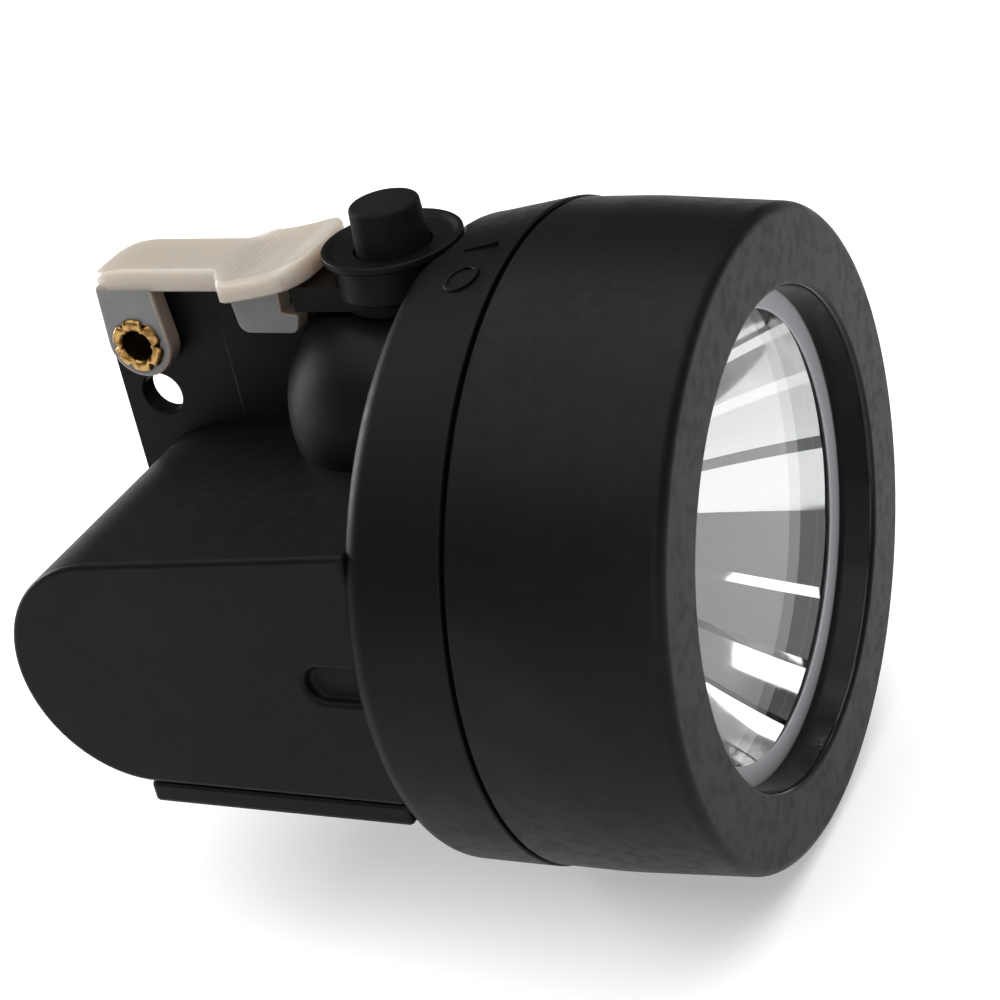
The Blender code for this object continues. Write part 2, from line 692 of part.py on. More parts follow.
def make_plate():
    corner_r = PLATE_TOP_Z - PIVOT_Z
    corner = arc((PIVOT_X, PIVOT_Z), corner_r, 90, 165, 7)
    outline = [
        (-0.0292, PLATE_TOP_Z),
        *corner,
        (PLATE_REAR_X, PIVOT_Z),
        (PLATE_REAR_X, 0),
        (-0.0200, 0),
        (-0.0200, 0.0244),
        (-0.0285, 0.0262),
    ]
    plate = slab("bracket_plate", outline, 2 * PLATE_HALF_Y, BLACK_PLASTIC)
    web = box(
        "plate_web", (WEB_REAR_X, -WEB_HALF_Y, 0.0005), (-0.0205, WEB_HALF_Y, WEB_TOP_Z), None, edge=0.0006
    )
    join(plate, web)
    cut(plate, slab("cut_plate_case", case_outline(GAP, 0.0), 0.020, None), tower_cutter())
    cut(plate, rod("cut_hole", (HOLE_X, 0.005, HOLE_Z), 0.010, HOLE_R, None, "-Y", 24))
    bore = (PIVOT_X, 0.005, PIVOT_Z)
    cut(plate, rod("cut_pivot", bore, 0.010, EYELET_TUBE_R + 0.0002, None, "-Y", 24))


def make_eyelet():
    """A rolled tubular rivet through the clip's legs and the plate, flanged on both sides."""
    half = CLIP_HALF_Y + 0.0001
    flange, roll = 0.0005, 0.0002
    profile = [
        (EYELET_BORE_R, half + flange),
        (EYELET_R - roll, half + flange),
        (EYELET_R, half + flange - roll),
        (EYELET_R, half),
        (EYELET_TUBE_R, half),
        (EYELET_TUBE_R, -half),
        (EYELET_R, -half),
        (EYELET_R, -half - flange + roll),
        (EYELET_R - roll, -half - flange),
        (EYELET_BORE_R, -half - flange),
    ]
    lathe("pivot_eyelet", profile, BRASS, "-Y", (PIVOT_X, 0, PIVOT_Z), 24)


def tab_side_outline():
    """The clip's side view as (x, z), measured from the pivot: a flat top that curls up at the thumb end."""
    under, over = [], []
    steps = 8
    for i in range(steps + 1):
        t = i / steps
        x = TAB_CORNER_X - 0.006 + (TAB_END_X - TAB_CORNER_X + 0.006) * t
        lift = TAB_LIFT * t**2
        under.append((x - PIVOT_X, CLIP_UNDER_Z + lift - PIVOT_Z))
        over.append((x - PIVOT_X, CLIP_UNDER_Z + CLIP_THICK + lift - PIVOT_Z))
    rear = CLIP_REAR_X - PIVOT_X
    low, high = CLIP_UNDER_Z - PIVOT_Z, CLIP_UNDER_Z + CLIP_THICK - PIVOT_Z
    return [*over[::-1], (rear + 0.0004, high), (rear, high - 0.0004), (rear, low), *under]


def clip_plan_outline():
    """The clip seen from above as (x, y), measured from the pivot: narrow over the plate, wide at the thumb."""
    rear, step = CLIP_REAR_X - PIVOT_X, TAB_REAR_X - PIVOT_X
    corner, end = TAB_CORNER_X - PIVOT_X, TAB_END_X - PIVOT_X
    half = []
    half += [(rear, 0.0), (rear, CLIP_HALF_Y - 0.0020), (rear + 0.0020, CLIP_HALF_Y)]
    half += [(step, CLIP_HALF_Y), (step + 0.0010, TAB_HALF_Y)]
    for i in range(7):
        turn = math.pi / 2 * i / 6
        half.append((corner + (end - corner) * math.sin(turn), TAB_HALF_Y * math.cos(turn) ** 0.5))
    mirrored = [(x, -y) for x, y in half[-2:0:-1]]
    return half + mirrored


def leg_outline():
    tip = arc((0, 0), CLIP_LEG_R, 180, 360, 14)
    top = CLIP_UNDER_Z + 0.0010 - PIVOT_Z
    return [(-CLIP_LEG_R, top), *tip, (CLIP_LEG_R, top)]


def hook_outline():
    rear, front = HOOK_REAR_X - PIVOT_X, HOOK_FRONT_X - PIVOT_X
    bottom, top = HOOK_BOTTOM_Z - PIVOT_Z, CLIP_UNDER_Z + 0.0010 - PIVOT_Z
    tip_x, tip_z = HOOK_TIP_X - PIVOT_X, LEDGE_BOTTOM_Z - 0.0008 - PIVOT_Z
    return [
        (rear, top),
        (rear + 0.0004, bottom + 0.0012),
        (rear + 0.0015, bottom),
        (front + 0.0003, bottom),
        (front + 0.0013, bottom + 0.0006),
        (tip_x, tip_z - 0.0006),
        (tip_x, tip_z),
        (front, tip_z + 0.0004),
        (front, top),
    ]


def make_clip():
    """The clip's object origin lies on the pivot axis."""
    pivot = (PIVOT_X, 0, PIVOT_Z)
    clip = slab("clip_lever", tab_side_outline(), 2 * TAB_HALF_Y + 0.002, MILKY_PLASTIC, "-Y", pivot)
    plan = slab("clip_plan", clip_plan_outline(), 0.030, None, "Z", (PIVOT_X, 0, CLIP_UNDER_Z))
    combine(clip, plan, "INTERSECT")
    leg_y = CLIP_HALF_Y - CLIP_LEG_THICK / 2
    for side in (-1, 1):
        place_at = (PIVOT_X, side * leg_y, PIVOT_Z)
        join(clip, slab(f"clip_leg_{side}", leg_outline(), CLIP_LEG_THICK, None, "-Y", place_at))
        join(clip, slab(f"clip_hook_{side}", hook_outline(), CLIP_LEG_THICK, None, "-Y", place_at))
    bore = (PIVOT_X, 0.010, PIVOT_Z)
    cut(clip, rod("cut_clip_pivot", bore, 0.020, EYELET_TUBE_R + 0.0002, None, "-Y", 24))


make_bezel()
make_head_ring()
make_bezel_seal()
make_lens()
make_gasket()
make_reflector()
make_light()
make_case()
make_sole()
make_cells()
make_leads()
make_tower()
make_switch_housing()
make_collar()
make_button()
make_switch()
make_plate()
make_eyelet()
make_clip()
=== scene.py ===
"""The looks of the cordless miner's cap lamp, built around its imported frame.

Every piece is placed in the lamp's own frame: X runs forward along the optical axis, Z is up and the
origin is on that axis, at the seam between the bezel and the rear ring. Lengths are in millimetres
there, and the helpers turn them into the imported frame's metres.
"""

import math

import bmesh
import bpy
from mathutils import Matrix, Vector


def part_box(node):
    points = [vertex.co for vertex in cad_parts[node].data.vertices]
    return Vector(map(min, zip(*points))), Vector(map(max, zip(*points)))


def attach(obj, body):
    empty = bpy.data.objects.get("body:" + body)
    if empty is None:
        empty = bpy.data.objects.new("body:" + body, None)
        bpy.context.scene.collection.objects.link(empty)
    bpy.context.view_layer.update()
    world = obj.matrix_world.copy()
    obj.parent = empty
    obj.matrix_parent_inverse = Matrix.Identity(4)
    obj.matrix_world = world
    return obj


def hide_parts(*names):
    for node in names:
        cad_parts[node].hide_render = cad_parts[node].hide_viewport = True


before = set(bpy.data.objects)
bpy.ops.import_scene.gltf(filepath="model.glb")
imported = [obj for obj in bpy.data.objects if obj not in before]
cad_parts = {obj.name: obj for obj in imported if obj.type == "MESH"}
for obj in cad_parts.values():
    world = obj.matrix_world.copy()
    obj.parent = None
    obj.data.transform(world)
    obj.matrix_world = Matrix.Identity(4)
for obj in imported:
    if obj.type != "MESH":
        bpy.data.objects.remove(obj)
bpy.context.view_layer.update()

MM = 0.001
CLEAR = 0.05
BEZEL_LOW, BEZEL_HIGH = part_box("front_bezel")
SEAM = Vector((BEZEL_LOW.x, 0, (BEZEL_LOW.z + BEZEL_HIGH.z) / 2))


def span(node, axis):
    """A node's lowest and highest place along an axis, in the lamp's own frame."""
    low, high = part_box(node)
    i = "xyz".index(axis)
    return (low[i] - SEAM[i]) / MM, (high[i] - SEAM[i]) / MM


# Head
BEZEL_SEAM_R = span("front_bezel", "z")[1]
BEZEL_FRONT_R = BEZEL_SEAM_R - 0.8
BEZEL_FRONT_X = span("front_bezel", "x")[1]
BORE_R = 25.7
LIP_REAR_X = 17.8
BEZEL_INNER_R = 31.8
MARK_X, MARK_HEIGHT, MARK_WIDTH = -4.6, 0.35, 0.55
CIRCLE_RUN, BAR_RUN, MARK_REACH = 8.6, 3.2, 2.0
RING_R = -span("head_ring", "z")[0]
RING_REAR_X = span("head_ring", "x")[0] - 1.0
RING_ROUND = 2.6
RING_BORE_R = 8.9
RING_WALL = 3.0
SPIGOT_R, SPIGOT_INNER_R, SPIGOT_X = 31.5, 29.0, 9.0
NOTCH_FLOOR_Z = 27.1
SEAM_GAP = 0.35
LENS_REAR_X, LENS_FRONT_X = span("lens", "x")
LENS_R = span("lens", "z")[1]
GASKET_REAR_X = span("lens_gasket", "x")[0]
SEAL_INNER_R = 23.4
SEAL_REAR_INNER_R = 26.2
REFLECTOR_R = 24.3
REFLECTOR_HOLE_R = 4.2
REFLECTOR_FRONT_X = LENS_REAR_X - 0.1
REFLECTOR_FOCUS = 7.07
REFLECTOR_PETALS = 18
PETAL_FIRST_EDGE = math.radians(137)
PETAL_STEP = 0.45
PETAL_STEP_WIDTH = 1.3
FLANGE_R = SEAL_REAR_INNER_R - 0.1
FLANGE_THICK = 1.0

# Battery case
CASE_REAR_X, CASE_FRONT_X = span("battery_case", "x")
CASE_HALF_Y = span("battery_case", "y")[1]
CASE_ARC_X, CASE_ARC_Z = -40.8, -0.7
CASE_ARC_R = CASE_ARC_X - CASE_REAR_X
CASE_SLOPE = math.radians(4.65)
SLOT_HALF_Z = 2.0
SLOT_REAR_X = -19.0
SLOT_DEPTH = 1.2

# Switch tower, switch and button
SWITCH_X = sum(span("push_button", "x")) / 2
TOWER_X = span("switch_tower", "y")[1] + span("switch_tower", "x")[0]
TOWER_R = span("switch_tower", "y")[1]
TOWER_NECK_R = 6.5
TOWER_BELLY_Z = 15.5
TOWER_FOOT_Z = 8.0
TOWER_TOP_Z = span("switch_tower", "z")[1]
BOSS_R, BOSS_BORE_R = 6.6, 5.5
BOSS_WAIST_R, BOSS_WAIST_Z = 6.1, 29.2
BOSS_BOTTOM_Z, BOSS_TOP_Z = span("switch_housing", "z")
LEDGE_REAR_X = span("switch_housing", "x")[0]
LEDGE_HALF_Y = 5.0
LEDGE_BOTTOM_Z, LEDGE_TOP_Z = 28.0, 30.9
COLLAR_R = span("switch_collar", "y")[1] + 0.25
COLLAR_TOP_Z = span("switch_collar", "z")[1]
BUTTON_TOP_R, BUTTON_BASE_R = 3.7, 3.95
BUTTON_TOP_Z = span("push_button", "z")[1]

# Bracket plate, rivet and clip
PLATE_HALF_Y = 1.2
PLATE_REAR_X = span("bracket_plate", "x")[0]
PLATE_TOP_Z = span("bracket_plate", "z")[1]
HOLE_X, HOLE_Z, HOLE_R = -48.8, 16.0, 2.45
WEB_REAR_X, WEB_HALF_Y, WEB_TOP_Z = -38.8, 1.65, PLATE_TOP_Z - 0.3
PIVOT_X = sum(span("pivot_eyelet", "x")) / 2
PIVOT_Z = sum(span("pivot_eyelet", "z")) / 2
EYELET_R = span("pivot_eyelet", "z")[1] - PIVOT_Z
EYELET_BORE_R = 1.75
EYELET_HALF_Y = span("pivot_eyelet", "y")[1]
EYELET_TUBE_R, EYELET_ROLL, EYELET_PETALS = 2.4, 0.45, 6
PLATE_BORE_R = 2.5
CLIP_HALF_Y = 4.2
CLIP_LEG_THICK = 2.4
CLIP_LEG_R = 3.9
CLIP_REAR_X, TAB_END_X = span("clip_lever", "x")
CLIP_UNDER_Z, CLIP_THICK = 29.8, 2.6
TAB_REAR_X, TAB_HALF_Y, TAB_CORNER_R = -36.2, 7.0, 3.6
CLIP_REAR_ROUND = 2.8
CLIP_BORE_R = 2.55


# ---------------------------------------------------------------- mesh helpers


def metres(point):
    return SEAM + Vector(point) * MM


def fillet(before, corner, after, radius, steps):
    """The points of an arc of that radius that rounds a corner."""
    back, ahead = (before - corner).normalized(), (after - corner).normalized()
    half = back.angle(ahead) / 2
    centre = corner + (back + ahead).normalized() * radius / math.sin(half)
    start = corner + back * radius / math.tan(half) - centre
    turn = math.pi - 2 * half
    if back.x * ahead.y - back.y * ahead.x > 0:
        turn = -turn
    return [centre + Matrix.Rotation(turn * i / steps, 2) @ start for i in range(steps + 1)]


def rounded(corners, steps=5):
    """A closed outline through corners (a, b) or (a, b, radius), with each radius rounded."""
    points = []
    for i, corner in enumerate(corners):
        at = Vector(corner[:2])
        if len(corner) == 2:
            points.append(at)
            continue
        before = Vector(corners[i - 1][:2])
        after = Vector(corners[(i + 1) % len(corners)][:2])
        points += fillet(before, at, after, corner[2], steps)
    return points


def arc(centre, radius, start, end, steps):
    """Points on an arc between two angles in degrees."""
    turns = [math.radians(start + (end - start) * i / steps) for i in range(steps + 1)]
    return [Vector((centre[0] + radius * math.cos(t), centre[1] + radius * math.sin(t))) for t in turns]


def full_turn(count, offset=0.0):
    """Evenly spaced angles right round, in radians."""
    return [2 * math.pi * (i + offset) / count for i in range(count)]


def smooth(t):
    """0 below 0 and 1 above 1, with a smooth step between."""
    t = min(1.0, max(0.0, t))
    return t * t * (3 - 2 * t)


def shaded(obj, sharper_than=38):
    obj.data.shade_smooth()
    obj.data.set_sharp_from_angle(angle=math.radians(sharper_than))
    return obj


def even_normals(obj):
    normals = obj.modifiers.new("even_normals", "WEIGHTED_NORMAL")
    normals.keep_sharp = True
    normals.weight = 60


def piece_from(name, shape, look, sharper_than=38):
    """The bmesh, in the lamp's own millimetres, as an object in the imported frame."""
    bmesh.ops.remove_doubles(shape, verts=shape.verts, dist=1e-4)
    bmesh.ops.recalc_face_normals(shape, faces=shape.faces)
    bmesh.ops.scale(shape, vec=(MM, MM, MM), verts=shape.verts)
    bmesh.ops.translate(shape, vec=SEAM, verts=shape.verts)
    mesh = bpy.data.meshes.new(name)
    shape.to_mesh(mesh)
    shape.free()
    mesh.materials.append(look)
    obj = bpy.data.objects.new(name, mesh)
    bpy.context.scene.collection.objects.link(obj)
    return shaded(obj, sharper_than)


AXES = {
    "X": Matrix(((0, 0, 1), (0, 1, 0), (-1, 0, 0))),
    "Y": Matrix(((1, 0, 0), (0, 0, 1), (0, -1, 0))),
    "Z": Matrix.Identity(3),
}


def turned_shape(profile, along="X", centre=(0, 0, 0), segments=160):
    """A bmesh of the (radius, height) profile turned about the axis through centre."""
    shape = bmesh.new()
    verts = [shape.verts.new((point[0], 0, point[1])) for point in profile]
    on_axis = profile[0][0] == 0 and profile[-1][0] == 0
    pairs = list(zip(verts, verts[1:])) + ([] if on_axis else [(verts[-1], verts[0])])
    edges = [shape.edges.new(pair) for pair in pairs]
    bmesh.ops.spin(
        shape,
        geom=verts + edges,
        cent=(0, 0, 0),
        axis=(0, 0, 1),
        angle=2 * math.pi,
        steps=segments,
        use_merge=True,
    )
    bmesh.ops.remove_doubles(shape, verts=shape.verts, dist=1e-4)
    bmesh.ops.rotate(shape, matrix=AXES[along], verts=shape.verts)
    bmesh.ops.translate(shape, vec=centre, verts=shape.verts)
    return shape


def turned(name, profile, look, along="X", centre=(0, 0, 0), segments=160):
    obj = piece_from(name, turned_shape(profile, along, centre, segments), look)
    even_normals(obj)
    return obj


def slab(name, outline, low, high, look):
    """An outline of (x, z) points given its thickness along Y."""
    shape = bmesh.new()
    face = shape.faces.new([shape.verts.new((x, low, z)) for x, z in outline])
    pushed = bmesh.ops.extrude_face_region(shape, geom=[face])["geom"]
    moved = [item for item in pushed if isinstance(item, bmesh.types.BMVert)]
    bmesh.ops.translate(shape, vec=(0, high - low, 0), verts=moved)
    return piece_from(name, shape, look)


def block(name, low, high, look):
    outline = [(low[0], low[2]), (high[0], low[2]), (high[0], high[2]), (low[0], high[2])]
    return slab(name, outline, low[1], high[1], look)


def drill(name, radius, start, end, along, centre, segments):
    """A plain cylinder to cut a round hole with."""
    profile = [(0, start), (radius, start), (radius, end), (0, end)]
    cutter = turned(name, profile, LOOKS["housing"], along, centre, segments)
    cutter.modifiers.clear()
    return cutter


def soften(obj, width, segments=3, sharper_than=40):
    """Rounds every edge that is sharper than the angle."""
    bevel = obj.modifiers.new("soften", "BEVEL")
    bevel.width = width * MM
    bevel.segments = segments
    bevel.limit_method = "ANGLE"
    bevel.angle_limit = math.radians(sharper_than)
    bevel.harden_normals = False
    even_normals(obj)


def combine(obj, operation, *others):
    """Applies each Boolean and removes the other mesh."""
    for other in others:
        boolean = obj.modifiers.new("combine", "BOOLEAN")
        boolean.operation = operation
        boolean.object = other
        boolean.solver = "EXACT"
        bpy.context.view_layer.update()
        graph = bpy.context.evaluated_depsgraph_get()
        mesh = bpy.data.meshes.new_from_object(obj.evaluated_get(graph))
        obj.modifiers.remove(boolean)
        obj.data = mesh
        bpy.data.objects.remove(other)
    return shaded(obj)


def finished(obj, body, slot, *nodes):
    """Puts the piece on its body and hides the CAD nodes it stands for. The slot is not used."""
    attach(obj, body)
    if nodes:
        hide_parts(*nodes)
    return obj


# ---------------------------------------------------------------- material helpers


class Look:
    """A Principled material whose colour, roughness and bump can follow procedural noise."""

    def __init__(self, name, colour, roughness, metallic=0.0, specular=0.5, **sockets):
        self.material = bpy.data.materials.new(name)
        self.material.use_nodes = True
        self.tree = self.material.node_tree
        self.shader = self.tree.nodes["Principled BSDF"]
        self.colour = colour
        self.set("Base Color", (*colour, 1))
        self.set("Roughness", roughness)
        self.set("Metallic", metallic)
        self.set("Specular IOR Level", specular)
        for socket, value in sockets.items():
            self.set(socket.replace("_", " "), value)
        self.height = None
        coordinates = self.tree.nodes.new("ShaderNodeTexCoord")
        self.place = coordinates.outputs["Object"]

    def set(self, socket, value):
        self.shader.inputs[socket].default_value = value

    def link(self, out, into):
        self.tree.links.new(out, into)

    def noise(self, size, detail=4, rough=0.55, stretch=(1, 1, 1), twist=0.0):
        """Noise whose features are about that many millimetres across."""
        node = self.tree.nodes.new("ShaderNodeTexNoise")
        node.inputs["Scale"].default_value = 1 / (size * MM)
        node.inputs["Detail"].default_value = detail
        node.inputs["Roughness"].default_value = rough
        node.inputs["Distortion"].default_value = twist
        if stretch != (1, 1, 1):
            mapping = self.tree.nodes.new("ShaderNodeMapping")
            mapping.inputs["Scale"].default_value = stretch
            self.link(self.place, mapping.inputs["Vector"])
            self.link(mapping.outputs["Vector"], node.inputs["Vector"])
        else:
            self.link(self.place, node.inputs["Vector"])
        return node.outputs["Fac"]

    def specks(self, size, share):
        """White specks on black, size millimetres apart, covering about that share of a cell."""
        node = self.tree.nodes.new("ShaderNodeTexVoronoi")
        node.inputs["Scale"].default_value = 1 / (size * MM)
        self.link(self.place, node.inputs["Vector"])
        return self.ranged(node.outputs["Distance"], share, share * 0.5, 0, 1)

    def ranged(self, value, low, high, to_low=0.0, to_high=1.0):
        node = self.tree.nodes.new("ShaderNodeMapRange")
        node.interpolation_type = "SMOOTHSTEP"
        for socket, number in zip(("From Min", "From Max", "To Min", "To Max"), (low, high, to_low, to_high)):
            node.inputs[socket].default_value = number
        self.link(value, node.inputs["Value"])
        return node.outputs["Result"]

    def math(self, operation, a, b):
        node = self.tree.nodes.new("ShaderNodeMath")
        node.operation = operation
        for socket, value in zip(node.inputs, (a, b)):
            if isinstance(value, (int, float)):
                socket.default_value = value
            else:
                self.link(value, socket)
        return node.outputs["Value"]

    def tint(self, factor, colour):
        """Mixes another colour in where the factor is high."""
        node = self.tree.nodes.new("ShaderNodeMix")
        node.data_type = "RGBA"
        base = self.shader.inputs["Base Color"]
        if base.is_linked:
            self.link(base.links[0].from_socket, node.inputs[6])
        else:
            node.inputs[6].default_value = (*self.colour, 1)
        node.inputs[7].default_value = (*colour, 1)
        self.link(factor, node.inputs[0])
        self.link(node.outputs[2], base)
        return self

    def vary_roughness(self, factor, low, high):
        self.link(self.ranged(factor, 0.0, 1.0, low, high), self.shader.inputs["Roughness"])
        return self

    def bump(self, height, depth, strength=1.0):
        """Adds relief of that depth in millimetres to what is there."""
        node = self.tree.nodes.new("ShaderNodeBump")
        node.inputs["Strength"].default_value = strength
        node.inputs["Distance"].default_value = depth * MM
        self.link(height, node.inputs["Height"])
        normal = self.shader.inputs["Normal"]
        if normal.is_linked:
            self.link(normal.links[0].from_socket, node.inputs["Normal"])
        self.link(node.outputs["Normal"], normal)
        return self


def moulded_black(name, colour, rough, rubbed, specular, grain=0.006):
    """Black moulded plastic: a fine spark-eroded grain, cloudy rubbed patches, a few dust specks."""
    look = Look(name, colour, rough[0], specular=specular)
    cloud = look.ranged(look.noise(16, 5, 0.6, twist=0.6), 0.50, 0.72)
    fine = look.ranged(look.noise(1.6, 3, 0.6), 0.35, 0.75)
    patch = look.math("MULTIPLY", cloud, look.ranged(fine, 0, 1, 0.8, 1.0))
    look.tint(look.math("MULTIPLY", patch, 0.8), rubbed)
    look.tint(look.math("MULTIPLY", look.specks(2.7, 0.025), 0.2), (0.12, 0.115, 0.10))
    look.vary_roughness(look.math("ADD", look.math("MULTIPLY", patch, -0.6), fine), rough[0], rough[1])
    look.bump(look.noise(0.35, 2, 0.5), grain, 0.6)
    return look.material


def make_looks():
    looks = {}
    looks["housing"] = moulded_black(
        "black_housing", (0.0034, 0.0034, 0.0032), (0.44, 0.52), (0.0054, 0.0053, 0.0048), 0.085
    )
    looks["bezel"] = moulded_black(
        "black_bezel", (0.0036, 0.0036, 0.0034), (0.42, 0.51), (0.0082, 0.0081, 0.0070), 0.10
    )
    looks["bore"] = moulded_black(
        "glossy_bore", (0.0030, 0.0030, 0.0030), (0.16, 0.26), (0.005, 0.005, 0.005), 0.25, 0.002
    )

    rubber = Look("button_rubber", (0.0038, 0.0038, 0.0034), 0.72, specular=0.10)
    rubber.tint(rubber.ranged(rubber.noise(2.5), 0.45, 0.8), (0.0065, 0.0065, 0.0058))
    rubber.vary_roughness(rubber.noise(1.2), 0.6, 0.85)
    rubber.bump(rubber.noise(0.25, 2), 0.008)
    looks["rubber"] = rubber.material

    lens = Look("clear_lens", (0.97, 0.98, 0.98), 0.0, specular=0.5, IOR=1.2, Transmission_Weight=1.0)
    lens.vary_roughness(lens.ranged(lens.noise(9, 5, 0.65), 0.5, 0.85), 0.0, 0.035)
    looks["lens"] = lens.material

    gasket = Look("grey_silicone", (0.40, 0.40, 0.42), 0.5, specular=0.3)
    gasket.tint(gasket.ranged(gasket.noise(6), 0.4, 0.75), (0.45, 0.45, 0.47))
    gasket.bump(gasket.noise(0.8), 0.006)
    looks["gasket"] = gasket.material

    chrome = Look("chrome", (0.66, 0.66, 0.65), 0.06, metallic=1.0)
    chrome.vary_roughness(chrome.ranged(chrome.noise(4, 5, 0.6), 0.35, 0.8), 0.05, 0.12)
    chrome.bump(chrome.noise(5, 2), 0.010, 0.5)
    looks["chrome"] = chrome.material

    brass = Look("brass", (0.46, 0.28, 0.095), 0.3, metallic=1.0)
    brass.tint(brass.ranged(brass.noise(0.9, 4), 0.42, 0.62), (0.17, 0.085, 0.025))
    brass.vary_roughness(brass.noise(0.5, 4), 0.18, 0.5)
    brass.bump(brass.noise(0.35, 3), 0.02)
    looks["brass"] = brass.material

    milky = Look(
        "milky_plastic",
        (0.47, 0.42, 0.36),
        0.34,
        specular=0.45,
        IOR=1.46,
        Transmission_Weight=0.15,
        Subsurface_Weight=1.0,
        Subsurface_Scale=0.006,
        Subsurface_Radius=(1.0, 0.8, 0.7),
    )
    milky.tint(milky.ranged(milky.noise(5, 4, 0.6), 0.45, 0.75), (0.42, 0.40, 0.37))
    milky.vary_roughness(milky.noise(1.5, 3), 0.28, 0.44)
    milky.bump(milky.noise(0.6, 2), 0.006)
    looks["milky"] = milky.material

    thin = Look(
        "milky_thin",
        (0.19, 0.195, 0.195),
        0.32,
        specular=0.4,
        IOR=1.46,
        Transmission_Weight=0.25,
        Subsurface_Weight=0.3,
        Subsurface_Scale=0.002,
        Subsurface_Radius=(1.0, 0.8, 0.7),
    )
    thin.tint(thin.ranged(thin.noise(5, 4, 0.6), 0.45, 0.75), (0.23, 0.225, 0.215))
    thin.vary_roughness(thin.noise(1.5, 3), 0.26, 0.42)
    looks["milky_thin"] = thin.material

    edge = Look("milky_edge", (0.34, 0.27, 0.215), 0.34, specular=0.4, IOR=1.46, Transmission_Weight=0.15)
    edge.tint(edge.ranged(edge.noise(1.6, 4, 0.6), 0.4, 0.75), (0.27, 0.215, 0.175))
    edge.vary_roughness(edge.noise(1.5, 3), 0.28, 0.44)
    looks["milky_edge"] = edge.material

    def simple(name, colour, rough, metallic=0.0, other=None, size=2.0):
        look = Look(name, colour, rough[0], metallic)
        look.tint(look.ranged(look.noise(size), 0.4, 0.75), other or tuple(c * 0.7 for c in colour))
        look.vary_roughness(look.noise(size / 2), *rough)
        look.bump(look.noise(size / 5, 2), 0.004)
        looks[name] = look.material

    # A near-black brass that paints shade into the rivet's bore.
    simple("bore_shade_brass", (0.07, 0.04, 0.014), (0.35, 0.55), 1.0)
    simple("steel", (0.50, 0.50, 0.51), (0.22, 0.42), 1.0)
    simple("aluminium", (0.72, 0.72, 0.73), (0.25, 0.45), 1.0)
    simple("nickel", (0.66, 0.64, 0.58), (0.2, 0.4), 1.0)
    simple("led_phosphor", (0.85, 0.62, 0.07), (0.3, 0.5), 0.0, (0.80, 0.52, 0.04), 0.6)
    simple("white_board", (0.80, 0.80, 0.78), (0.4, 0.6))
    simple("green_board", (0.03, 0.15, 0.06), (0.35, 0.55), 0.0, (0.02, 0.10, 0.045))
    simple("cell_wrap", (0.05, 0.14, 0.34), (0.25, 0.45))
    simple("grey_plastic", (0.21, 0.21, 0.22), (0.4, 0.6))
    simple("red_insulation", (0.50, 0.02, 0.015), (0.35, 0.5))
    simple("black_insulation", (0.015, 0.015, 0.015), (0.35, 0.5))
    return looks


LOOKS = make_looks()


# ---------------------------------------------------------------- head


def make_bezel():
    """The screwed-on front ring. Its bore is polished, the rest is satin."""
    profile = rounded(
        [
            (BEZEL_INNER_R, 0.0),
            (BEZEL_SEAM_R, 0.0, 0.25),
            (BEZEL_SEAM_R, BEZEL_FRONT_X * 0.35, 60.0),
            (BEZEL_FRONT_R, BEZEL_FRONT_X, 1.3),
            (BORE_R, BEZEL_FRONT_X, 0.7),
            (BORE_R, LIP_REAR_X, 0.3),
            (BEZEL_INNER_R, LIP_REAR_X),
        ],
        6,
    )
    bezel = turned("bezel_shell", profile, LOOKS["bezel"], segments=192)
    bezel.data.materials.append(LOOKS["bore"])
    for face in bezel.data.polygons:
        from_seam = (face.center - SEAM) / MM
        radius = math.hypot(from_seam.y, from_seam.z)
        face.material_index = int(radius < BORE_R + 0.25)
    return finished(bezel, "housing", "black_housing", "front_bezel")


def ring_dip(x, turn):
    """How much lower the ring's skin is at the top, where it slopes down towards the switch."""
    return 1.5 * smooth(-x / 9.0) * smooth(1.25 - abs(turn) / 1.3)


def make_ring():
    back_wall = RING_REAR_X + RING_WALL
    profile = rounded(
        [
            (RING_R, -SEAM_GAP, 0.25),
            (RING_R, RING_REAR_X, RING_ROUND),
            (RING_BORE_R, RING_REAR_X),
            (RING_BORE_R, back_wall),
            (SPIGOT_INNER_R, back_wall),
            (SPIGOT_INNER_R, SPIGOT_X),
            (SPIGOT_R, SPIGOT_X),
            (SPIGOT_R, -SEAM_GAP),
        ],
        9,
    )
    shape = turned_shape(profile, segments=192)
    for vert in shape.verts:
        x, y, z = vert.co
        radius = math.hypot(y, z)
        if radius > SPIGOT_R + 0.2:
            share = 1 - ring_dip(x, math.atan2(y, z)) / radius
            vert.co = (x, y * share, z * share)
    ring = piece_from("rear_ring", shape, LOOKS["housing"])
    cutter = drill("notch_cutter", COLLAR_R + 0.25, 45, NOTCH_FLOOR_Z, "Z", (SWITCH_X, 0, 0), 96)
    combine(ring, "DIFFERENCE", cutter)
    soften(ring, 0.22, 2, 45)
    return finished(ring, "housing", "black_housing", "head_ring")


def make_lens():
    profile = rounded(
        [(0, LENS_REAR_X), (LENS_R, LENS_REAR_X, 0.2), (LENS_R, LENS_FRONT_X, 0.2), (0, LENS_FRONT_X)], 3
    )
    lens = turned("lens_disc", profile, LOOKS["lens"], segments=160)
    return finished(lens, "housing", "clear_lens", "lens")


